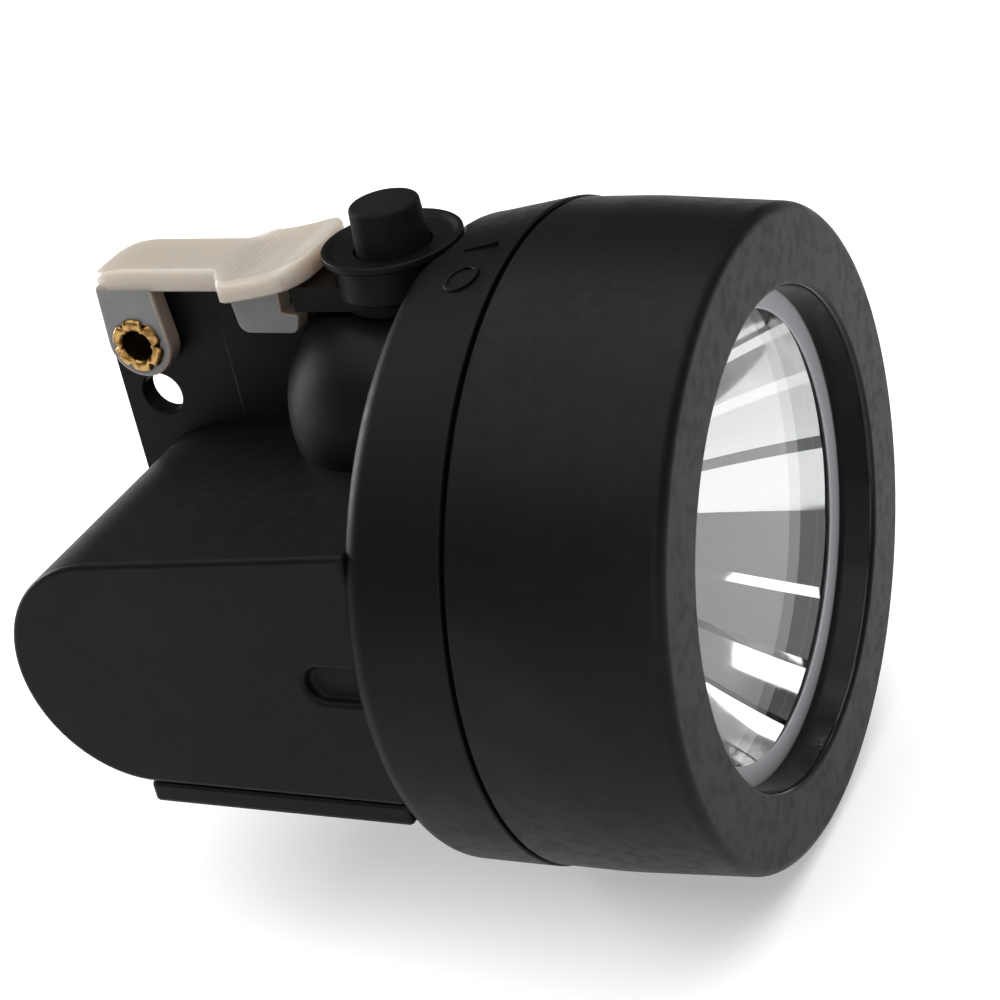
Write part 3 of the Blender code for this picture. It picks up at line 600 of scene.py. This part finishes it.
def make_gasket():
    """The grey seal: a ring behind the lens and a lip in front of it."""
    front = LENS_REAR_X - CLEAR
    profile = rounded(
        [
            (SEAL_REAR_INNER_R, GASKET_REAR_X),
            (LENS_R, GASKET_REAR_X),
            (LENS_R, front),
            (SEAL_REAR_INNER_R, front, 0.15),
        ],
        3,
    )
    gasket = turned("lens_seal", profile, LOOKS["gasket"], segments=160)
    finished(gasket, "housing", "grey_silicone", "lens_gasket")
    near, far = LENS_FRONT_X + 0.02, LIP_REAR_X - CLEAR
    lip = rounded([(SEAL_INNER_R, near), (LENS_R, near), (LENS_R, far), (SEAL_INNER_R, far, 0.12)], 3)
    front = turned("lens_seal_lip", lip, LOOKS["gasket"], segments=160)
    finished(front, "housing", "grey_silicone", "lens_gasket")


def bowl_point(radius, turn, sunk):
    """A point of the bowl at that radius and turn, sunk that far into it along its normal."""
    x = REFLECTOR_FRONT_X - (REFLECTOR_R**2 - radius**2) / (4 * REFLECTOR_FOCUS)
    lean = math.atan2(radius, 2 * REFLECTOR_FOCUS)
    radius, x = radius + sunk * math.sin(lean), x - sunk * math.cos(lean)
    return x, radius * math.sin(turn), radius * math.cos(turn)


def make_reflector():
    """A metallised bowl of radial petals. Each sinks towards a narrow strip that climbs to the next."""
    shape = bmesh.new()
    strip, across, rings = 6, 12, 34
    pitch = 2 * math.pi / REFLECTOR_PETALS
    grid = []
    for petal in range(REFLECTOR_PETALS):
        for i in range(across + strip):
            column = []
            for j in range(rings + 1):
                radius = REFLECTOR_HOLE_R + (REFLECTOR_R - REFLECTOR_HOLE_R) * j / rings
                width = min(0.3, PETAL_STEP_WIDTH * (0.45 + 0.55 * radius / REFLECTOR_R) / (radius * pitch))
                depth = PETAL_STEP * radius / REFLECTOR_R
                if i < across:
                    share = (1 - width) * i / across
                    sunk = depth * (i / across) ** 1.5
                else:
                    along = (i - across) / strip
                    share = 1 - width * (1 - along)
                    sunk = depth * (1 - along)
                turn = PETAL_FIRST_EDGE + pitch * (petal + share)
                column.append(shape.verts.new(bowl_point(radius, turn, sunk)))
            rim_x = column[-1].co.x
            for x in (rim_x, rim_x - FLANGE_THICK):
                column.append(shape.verts.new((x, FLANGE_R * math.sin(turn), FLANGE_R * math.cos(turn))))
            grid.append(column)
    for one, two in zip(grid, grid[1:] + grid[:1]):
        for a, b, c, d in zip(one, two, two[1:], one[1:]):
            shape.faces.new((a, b, c, d))
    bowl = piece_from("reflector_bowl", shape, LOOKS["chrome"], 9)
    return finished(bowl, "housing", "mirror_reflector", "reflector")


def make_mark(name, outer, inner):
    """A raised mark between two outlines of (x, run), wrapped round the ring's skin."""
    shape = bmesh.new()
    loops = []
    for loop in (outer, inner):
        for lift in (-0.4, MARK_HEIGHT):
            verts = []
            for x, run in loop:
                turn = run / RING_R
                radius = RING_R + lift - ring_dip(MARK_X + x, turn)
                verts.append(shape.verts.new((MARK_X + x, -radius * math.sin(turn), radius * math.cos(turn))))
            loops.append(verts)
    low_out, top_out, low_in, top_in = loops
    count = len(top_out)
    for i in range(count):
        k = (i + 1) % count
        shape.faces.new((low_out[i], low_out[k], top_out[k], top_out[i]))
        shape.faces.new((top_out[i], top_out[k], top_in[k], top_in[i]))
        shape.faces.new((top_in[i], top_in[k], low_in[k], low_in[i]))
        shape.faces.new((low_in[i], low_in[k], low_out[k], low_out[i]))
    mark = piece_from(name, shape, LOOKS["housing"], 30)
    soften(mark, 0.1, 2, 50)
    return finished(mark, "housing", "black_housing")


def make_marks():
    """Raised generic on and off marks on top of the ring: a bar and a circle."""
    inner_reach, half_width = MARK_REACH - MARK_WIDTH, MARK_WIDTH / 2
    circle_out, circle_in = [
        [(reach * math.cos(t), CIRCLE_RUN + reach * math.sin(t)) for t in full_turn(40)]
        for reach in (MARK_REACH, inner_reach)
    ]
    half_bar = MARK_REACH - half_width
    bar = [
        (math.copysign(half_bar, math.cos(t)) + half_width * math.cos(t), half_width * math.sin(t))
        for t in full_turn(24, 0.5)
    ]
    bar_out = [(x, BAR_RUN + run) for x, run in bar]
    bar_in = [(x * 0.5, BAR_RUN + run * 0.02) for x, run in bar]
    make_mark("off_mark", circle_out, circle_in)
    make_mark("on_mark", bar_out, bar_in)


# ---------------------------------------------------------------- battery case


def case_outline(steps=40):
    """The case's side view: a round back and a deck that climbs towards the head."""
    centre = (CASE_ARC_X, CASE_ARC_Z)
    back = arc(centre, CASE_ARC_R, 90 + math.degrees(CASE_SLOPE), 270, steps)
    climb = (CASE_FRONT_X - back[0].x) * math.tan(CASE_SLOPE)
    return [Vector((CASE_FRONT_X, back[0].y + climb)), *back, Vector((CASE_FRONT_X, back[-1].y))]


def make_case():
    case = slab("case_shell", case_outline(), -CASE_HALF_Y, CASE_HALF_Y, LOOKS["housing"])
    for side in (-1, 1):
        end = arc((SLOT_REAR_X + SLOT_HALF_Z, 0), SLOT_HALF_Z, 90, 270, 12)
        outline = [Vector((CASE_FRONT_X + 2, SLOT_HALF_Z)), *end, Vector((CASE_FRONT_X + 2, -SLOT_HALF_Z))]
        low, high = sorted((side * (CASE_HALF_Y - SLOT_DEPTH), side * (CASE_HALF_Y + 2)))
        combine(case, "DIFFERENCE", slab("slot_cutter", outline, low, high, LOOKS["housing"]))
    soften(case, 0.7, 4)
    return finished(case, "housing", "black_housing", "battery_case")


# ---------------------------------------------------------------- switch


def make_tower():
    """The bell that carries the switch, on a foot that is a little narrower."""
    height = TOWER_TOP_Z - TOWER_BELLY_Z
    bell = []
    for i in range(33):
        turn = math.pi / 2 * i / 32
        radius = TOWER_NECK_R + (TOWER_R - TOWER_NECK_R) * math.cos(turn)
        bell.append((radius, TOWER_BELLY_Z + height * math.sin(turn)))
    foot_r = TOWER_R - 0.5
    foot = [(0, TOWER_FOOT_Z), (foot_r, TOWER_FOOT_Z), (foot_r, 12.5), (TOWER_R - 0.1, 14.3)]
    profile = [*foot, *bell, (0, TOWER_TOP_Z)]
    tower = turned("tower_shell", profile, LOOKS["housing"], "Z", (TOWER_X, 0, 0), 128)
    return finished(tower, "housing", "black_housing", "switch_tower")


def make_switch_housing():
    """The boss round the button, and the ledge that the clip's hooks catch under."""
    neck_r, neck_z = BOSS_R - 0.38, COLLAR_TOP_Z - 0.87
    boss_profile = rounded(
        [
            (BOSS_BORE_R, BOSS_BOTTOM_Z),
            (BOSS_WAIST_R, BOSS_BOTTOM_Z, 0.2),
            (BOSS_WAIST_R, BOSS_WAIST_Z, 0.15),
            (BOSS_R, BOSS_WAIST_Z, 0.3),
            (BOSS_R, neck_z),
            (neck_r, neck_z),
            (neck_r, BOSS_TOP_Z),
            (BOSS_BORE_R, BOSS_TOP_Z),
        ],
        3,
    )
    boss = turned("switch_boss", boss_profile, LOOKS["housing"], "Z", (SWITCH_X, 0, 0), 96)
    finished(boss, "housing", "black_housing", "switch_housing")
    ledge = block(
        "clip_ledge",
        (LEDGE_REAR_X, -LEDGE_HALF_Y, LEDGE_BOTTOM_Z),
        (SWITCH_X, LEDGE_HALF_Y, LEDGE_TOP_Z),
        LOOKS["housing"],
    )
    cutter = drill("bore_cutter", BOSS_BORE_R, 20, 40, "Z", (SWITCH_X, 0, 0), 64)
    combine(ledge, "DIFFERENCE", cutter)
    soften(ledge, 0.3, 3)
    finished(ledge, "housing", "black_housing", "switch_housing")


def make_collar():
    """A shallow dish with a thin rim, which stands out a little over the boss."""
    lip_z, floor_z = COLLAR_TOP_Z - 0.85, COLLAR_TOP_Z - 0.5
    bore, skirt = BUTTON_BASE_R + 0.2, BOSS_R - 0.4
    profile = rounded(
        [
            (bore, BOSS_TOP_Z + CLEAR),
            (skirt, BOSS_TOP_Z + CLEAR),
            (skirt, lip_z),
            (COLLAR_R, lip_z, 0.25),
            (COLLAR_R, COLLAR_TOP_Z, 0.2),
            (COLLAR_R - 0.5, COLLAR_TOP_Z, 0.2),
            (COLLAR_R - 1.1, floor_z, 0.6),
            (bore, floor_z - 0.15, 0.1),
        ],
        5,
    )
    collar = turned("switch_dish", profile, LOOKS["housing"], "Z", (SWITCH_X, 0, 0), 128)
    return finished(collar, "housing", "black_housing", "switch_collar")


def make_button():
    low = span("push_button", "z")[0]
    profile = rounded(
        [
            (0, BUTTON_TOP_Z),
            (BUTTON_TOP_R, BUTTON_TOP_Z, 0.45),
            (BUTTON_BASE_R, BOSS_TOP_Z),
            (BUTTON_BASE_R, low),
            (0, low),
        ],
        6,
    )
    button = turned("button_cap", profile, LOOKS["rubber"], "Z", (SWITCH_X, 0, 0), 96)
    return finished(button, "button", "black_rubber", "push_button")


# ---------------------------------------------------------------- bracket, rivet and clip


def make_plate():
    """The upright plate with its hole, and the thicker web between it and the tower."""
    corner_r = PLATE_TOP_Z - PIVOT_Z
    outline = [
        Vector((-29.2, PLATE_TOP_Z)),
        *arc((PIVOT_X, PIVOT_Z), corner_r, 90, 172, 16),
        Vector((PLATE_REAR_X, PIVOT_Z - 1)),
        Vector((PLATE_REAR_X, 2)),
        Vector((-20, 2)),
        Vector((-20, 24.4)),
        Vector((-28.5, 26.2)),
    ]
    plate = slab("bracket_shell", outline, -PLATE_HALF_Y, PLATE_HALF_Y, LOOKS["housing"])
    hole = drill("hole_cutter", HOLE_R, -5, 5, "Y", (HOLE_X, 0, HOLE_Z), 64)
    pivot = drill("pivot_cutter", PLATE_BORE_R, -5, 5, "Y", (PIVOT_X, 0, PIVOT_Z), 48)
    combine(plate, "DIFFERENCE", hole, pivot)
    soften(plate, 0.18, 2, 45)
    finished(plate, "housing", "black_housing", "bracket_plate")
    web = block("bracket_web", (WEB_REAR_X, -WEB_HALF_Y, 2), (-20.5, WEB_HALF_Y, WEB_TOP_Z), LOOKS["housing"])
    soften(web, 0.4, 4)
    finished(web, "housing", "black_housing", "bracket_plate")


def make_eyelet():
    """A tubular rivet whose ends are rolled outwards in short petals; its bore is painted near-black as
    shade.
    """
    shape = bmesh.new()
    segments, rim_r = 96, EYELET_R - 0.25
    profile = []
    for side in (-1, 1):
        half = []
        for i in range(9):
            turn = math.pi * i / 8
            reach = EYELET_BORE_R + (rim_r - EYELET_BORE_R) * (1 - math.cos(turn)) / 2
            half.append((reach, EYELET_HALF_Y - EYELET_ROLL + EYELET_ROLL * math.sin(turn), i / 8))
        half.append((EYELET_TUBE_R, EYELET_HALF_Y - EYELET_ROLL - 0.02, 0.2))
        profile += [(r, side * y, share) for r, y, share in (half if side == -1 else half[::-1])]
    grid = []
    for k in range(segments):
        turn = 2 * math.pi * k / segments
        notch = max(0.0, math.cos(EYELET_PETALS * turn)) ** 6
        column = []
        for radius, y, share in profile:
            pulled = radius - notch * share * 0.75
            x, z = PIVOT_X + pulled * math.cos(turn), PIVOT_Z + pulled * math.sin(turn)
            column.append(shape.verts.new((x, y, z)))
        grid.append(column)
    for one, two in zip(grid, grid[1:] + grid[:1]):
        ring = list(range(len(one)))
        for a, b in zip(ring, ring[1:] + ring[:1]):
            shape.faces.new((one[a], two[a], two[b], one[b]))
    eyelet = piece_from("rolled_rivet", shape, LOOKS["brass"], 50)
    eyelet.data.materials.append(LOOKS["bore_shade_brass"])
    # Faces inside the bore take the near-black brass: painted shade in the hole.
    for face in eyelet.data.polygons:
        from_pivot = (face.center - SEAM) / MM - Vector((PIVOT_X, 0, PIVOT_Z))
        face.material_index = int(math.hypot(from_pivot.x, from_pivot.z) < EYELET_BORE_R + 0.1)
    return finished(eyelet, "housing", "brass", "pivot_eyelet")


def clip_half_width(x):
    """Half the clip's width, seen from above: narrow over the plate, wide at the thumb."""
    shoulder = smooth((x - TAB_REAR_X) / 2.4)
    width = CLIP_HALF_Y + (TAB_HALF_Y - CLIP_HALF_Y) * shoulder
    rear = max(0.0, CLIP_REAR_X + CLIP_REAR_ROUND - x)
    width -= CLIP_REAR_ROUND - math.sqrt(max(0.0, CLIP_REAR_ROUND**2 - rear**2))
    corner = min(TAB_CORNER_R, max(0.0, x - (TAB_END_X - TAB_CORNER_R)))
    return width - TAB_CORNER_R + math.sqrt(TAB_CORNER_R**2 - corner**2)


def clip_lift(x):
    """How far the thumb tab has curled up at x."""
    start = TAB_REAR_X + 1.0
    t = max(0.0, (x - start) / (TAB_END_X - start))
    return 1.9 * t**1.4


def clip_ribs(x, y_share):
    """Fine grip ribs across the dished top of the tab."""
    first, last, pitch = TAB_REAR_X + 1.5, TAB_END_X - 3.0, 0.64
    if not first < x < last:
        return 0.0
    fade = min(1.0, (x - first) / 0.8, (last - x) / 0.8) * smooth((0.86 - abs(y_share)) / 0.12)
    return 0.07 * fade * math.cos(2 * math.pi * (x - first) / pitch)


def make_clip_top():
    """The clip's top plate as a loft of rounded sections along X, dished and ribbed at the thumb."""
    shape = bmesh.new()
    stations, across = 190, 26
    rings = []
    for i in range(stations + 1):
        t = i / stations
        x = CLIP_REAR_X + (TAB_END_X - CLIP_REAR_X) * t
        half = clip_half_width(x)
        under = CLIP_UNDER_Z + clip_lift(x) - 0.2 * smooth((x - TAB_REAR_X) / 3)
        droop = 0.9 * max(0.0, (CLIP_REAR_X + 5.5 - x) / 5.5) ** 2
        end = max(1 - (x - CLIP_REAR_X) / 0.5, 1 - (TAB_END_X - x) / 0.5)
        dish = 0.65 * smooth((x - TAB_REAR_X) / 4) * smooth((TAB_END_X - 0.8 - x) / 4)
        ring = []
        for k in range(across + 1):
            share = 2 * k / across - 1
            edge = max(0.0, end, 1 - (half * (1 - abs(share))) / 0.45)
            shoulder_drop = 0.45 * (1 - math.sqrt(max(0.0, 1 - min(1, edge) ** 2)))
            bowl = dish * (1 - share**4)
            top = under + CLIP_THICK - droop - shoulder_drop - bowl + clip_ribs(x, share) * (1 - edge)
            ring.append(shape.verts.new((x, half * share, top)))
        for k in range(across, -1, -1):
            share = 2 * k / across - 1
            edge = max(0.0, 1 - (half * (1 - abs(share))) / 0.45)
            shoulder_drop = 0.35 * (1 - math.sqrt(max(0.0, 1 - min(1, edge) ** 2)))
            ring.append(shape.verts.new((x, half * share, under + shoulder_drop)))
        rings.append(ring)
    for one, two in zip(rings, rings[1:]):
        for a in range(len(one)):
            b = (a + 1) % len(one)
            shape.faces.new((one[a], one[b], two[b], two[a]))
    shape.faces.new(rings[0])
    shape.faces.new(rings[-1][::-1])
    return piece_from("clip_top", shape, LOOKS["milky"], 50)


def edge_faces(obj):
    """Gives the faces round a flap's rim the warmer tone that thick, edge-on plastic has."""
    obj.data.materials.clear()
    for look in ("milky_thin", "milky_edge"):
        obj.data.materials.append(LOOKS[look])
    for face in obj.data.polygons:
        face.material_index = int(abs(face.normal.y) < 0.5)
    obj.modifiers["soften"].material = 1


def make_clip():
    """The clip's top, and on each side its leg round the rivet and the hook for the ledge."""
    finished(make_clip_top(), "clip", "milky_plastic", "clip_lever")
    leg_top = CLIP_UNDER_Z + 0.6
    leg = [Vector((PIVOT_X - CLIP_LEG_R + 0.2, leg_top))]
    leg += arc((PIVOT_X, PIVOT_Z), CLIP_LEG_R, 180, 360, 28)
    leg += [Vector((PIVOT_X + CLIP_LEG_R - 0.6, leg_top))]
    hook = rounded(
        [
            (-35.0, leg_top),
            (-34.4, 25.1, 1.3),
            (-27.5, 25.1, 1.0),
            (-26.95, 27.2, 0.3),
            (-28.9, 27.5, 0.2),
            (-28.7, leg_top),
        ],
        4,
    )
    for side, word in ((-1, "near"), (1, "far")):
        low, high = sorted((side * (CLIP_HALF_Y - CLIP_LEG_THICK), side * CLIP_HALF_Y))
        flap = slab(f"clip_leg_{word}", leg, low, high, LOOKS["milky_thin"])
        combine(flap, "DIFFERENCE", drill("leg_cutter", CLIP_BORE_R, -9, 9, "Y", (PIVOT_X, 0, PIVOT_Z), 48))
        soften(flap, 0.3, 3, 45)
        edge_faces(flap)
        finished(flap, "clip", "milky_plastic", "clip_lever")
        catch = slab(f"clip_hook_{word}", hook, low, high, LOOKS["milky_thin"])
        soften(catch, 0.25, 3, 45)
        edge_faces(catch)
        finished(catch, "clip", "milky_plastic", "clip_lever")


# ---------------------------------------------------------------- nodes that keep their CAD shape

KEPT_LOOKS = {
    "housing": ["sole_cover"],
    "rubber": ["bezel_seal"],
    "led_phosphor": ["led_emitter"],
    "white_board": ["led_board"],
    "aluminium": ["heat_sink"],
    "steel": ["sole_screw_1", "sole_screw_2", "sole_screw_3", "sole_screw_4", "return_spring"],
    "brass": ["charge_contact_plus", "charge_contact_minus"],
    "cell_wrap": ["cell_1", "cell_2"],
    "nickel": ["contact_strip_plus", "contact_strip_minus"],
    "grey_plastic": ["cell_cradle", "switch_plunger", "tact_switch"],
    "green_board": ["protection_board", "driver_board"],
    "red_insulation": ["battery_lead_red", "led_lead_red"],
    "black_insulation": ["battery_lead_black", "led_lead_black"],
}


def dress_kept_nodes():
    for look, nodes in KEPT_LOOKS.items():
        for node in nodes:
            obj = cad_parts[node]
            obj.data.materials.clear()
            obj.data.materials.append(LOOKS[look])


# ---------------------------------------------------------------- floor, light and camera


def add_light(name, place, aim, size, power):
    data = bpy.data.lights.new(name, "AREA")
    data.shape = "RECTANGLE"
    data.size, data.size_y = size
    data.energy = power
    light = bpy.data.objects.new(name, data)
    light.location = place
    direction = Vector(aim) - Vector(place)
    light.rotation_euler = direction.to_track_quat("-Z", "Y").to_euler()
    bpy.context.scene.collection.objects.link(light)


def make_stage():
    bpy.ops.mesh.primitive_plane_add(size=6, location=(0, 0, -0.0002))
    floor = bpy.context.object
    floor.name = "floor"
    pale = Look("pale_floor", (0.82, 0.82, 0.82), 0.8, specular=0.1)
    pale.tint(pale.ranged(pale.noise(400, 2), 0.4, 0.7), (0.80, 0.80, 0.805))
    pale.set("Emission Color", (1, 1, 1, 1))
    pale.set("Emission Strength", 0.36)
    floor.data.materials.append(pale.material)

    world = bpy.data.worlds.new("studio")
    world.use_nodes = True
    background = world.node_tree.nodes["Background"]
    background.inputs["Color"].default_value = (0.93, 0.96, 1.0, 1)
    background.inputs["Strength"].default_value = 0.12
    bpy.context.scene.world = world

    lamp = (0.0, 0.0, 0.03)
    add_light("overhead", (-0.2, -0.3, 1.5), (-0.2, -0.3, 0.0), (2.1, 2.6), 44.0)
    add_light("front_wall", (1.9, -1.2, 1.3), (0.0, -1.2, 1.3), (5.6, 2.6), 5.0)
    add_light("far_wall", (1.4, 2.2, 1.6), (1.4, 0.0, 1.6), (1.6, 2.0), 2.6)
    add_light("high_panel", (1.35, 0.48, 1.9), lamp, (0.5, 0.4), 1.6)
    add_light("far_panel", (1.2, 2.15, 1.92), lamp, (0.5, 0.4), 1.8)
    add_light("near_fill", (0.5, -1.5, 0.5), lamp, (1.2, 0.8), 5.0)
    add_light("left", (-0.90, 0.22, 0.14), lamp, (0.30, 0.40), 6.5)


def make_camera():
    """Stands to the lamp's front right, looking down at it, rolled a little."""
    data = bpy.data.cameras.new("camera")
    data.sensor_width = 36.0
    data.lens = 96.69
    data.clip_start, data.clip_end = 0.01, 20
    camera = bpy.data.objects.new("camera", data)
    from_seam = Vector((115.83, -219.21, 135.81))
    right = Vector((0.8959, 0.3988, -0.1957)).normalized()
    forward = Vector((-0.4426, 0.7674, -0.4639)).normalized()
    up = right.cross(forward).normalized()
    turn = Matrix((right, up, -forward)).transposed().to_4x4()
    camera.matrix_world = Matrix.Translation(metres(from_seam)) @ turn
    bpy.context.scene.collection.objects.link(camera)
    bpy.context.scene.camera = camera


make_camera()
make_bezel()
make_ring()
make_lens()
make_gasket()
make_reflector()
make_marks()
make_case()
make_tower()
make_switch_housing()
make_collar()
make_button()
make_plate()
make_eyelet()
make_clip()
dress_kept_nodes()
make_stage()

bpy.context.scene.view_settings.view_transform = "Standard"
bpy.context.view_layer.update()
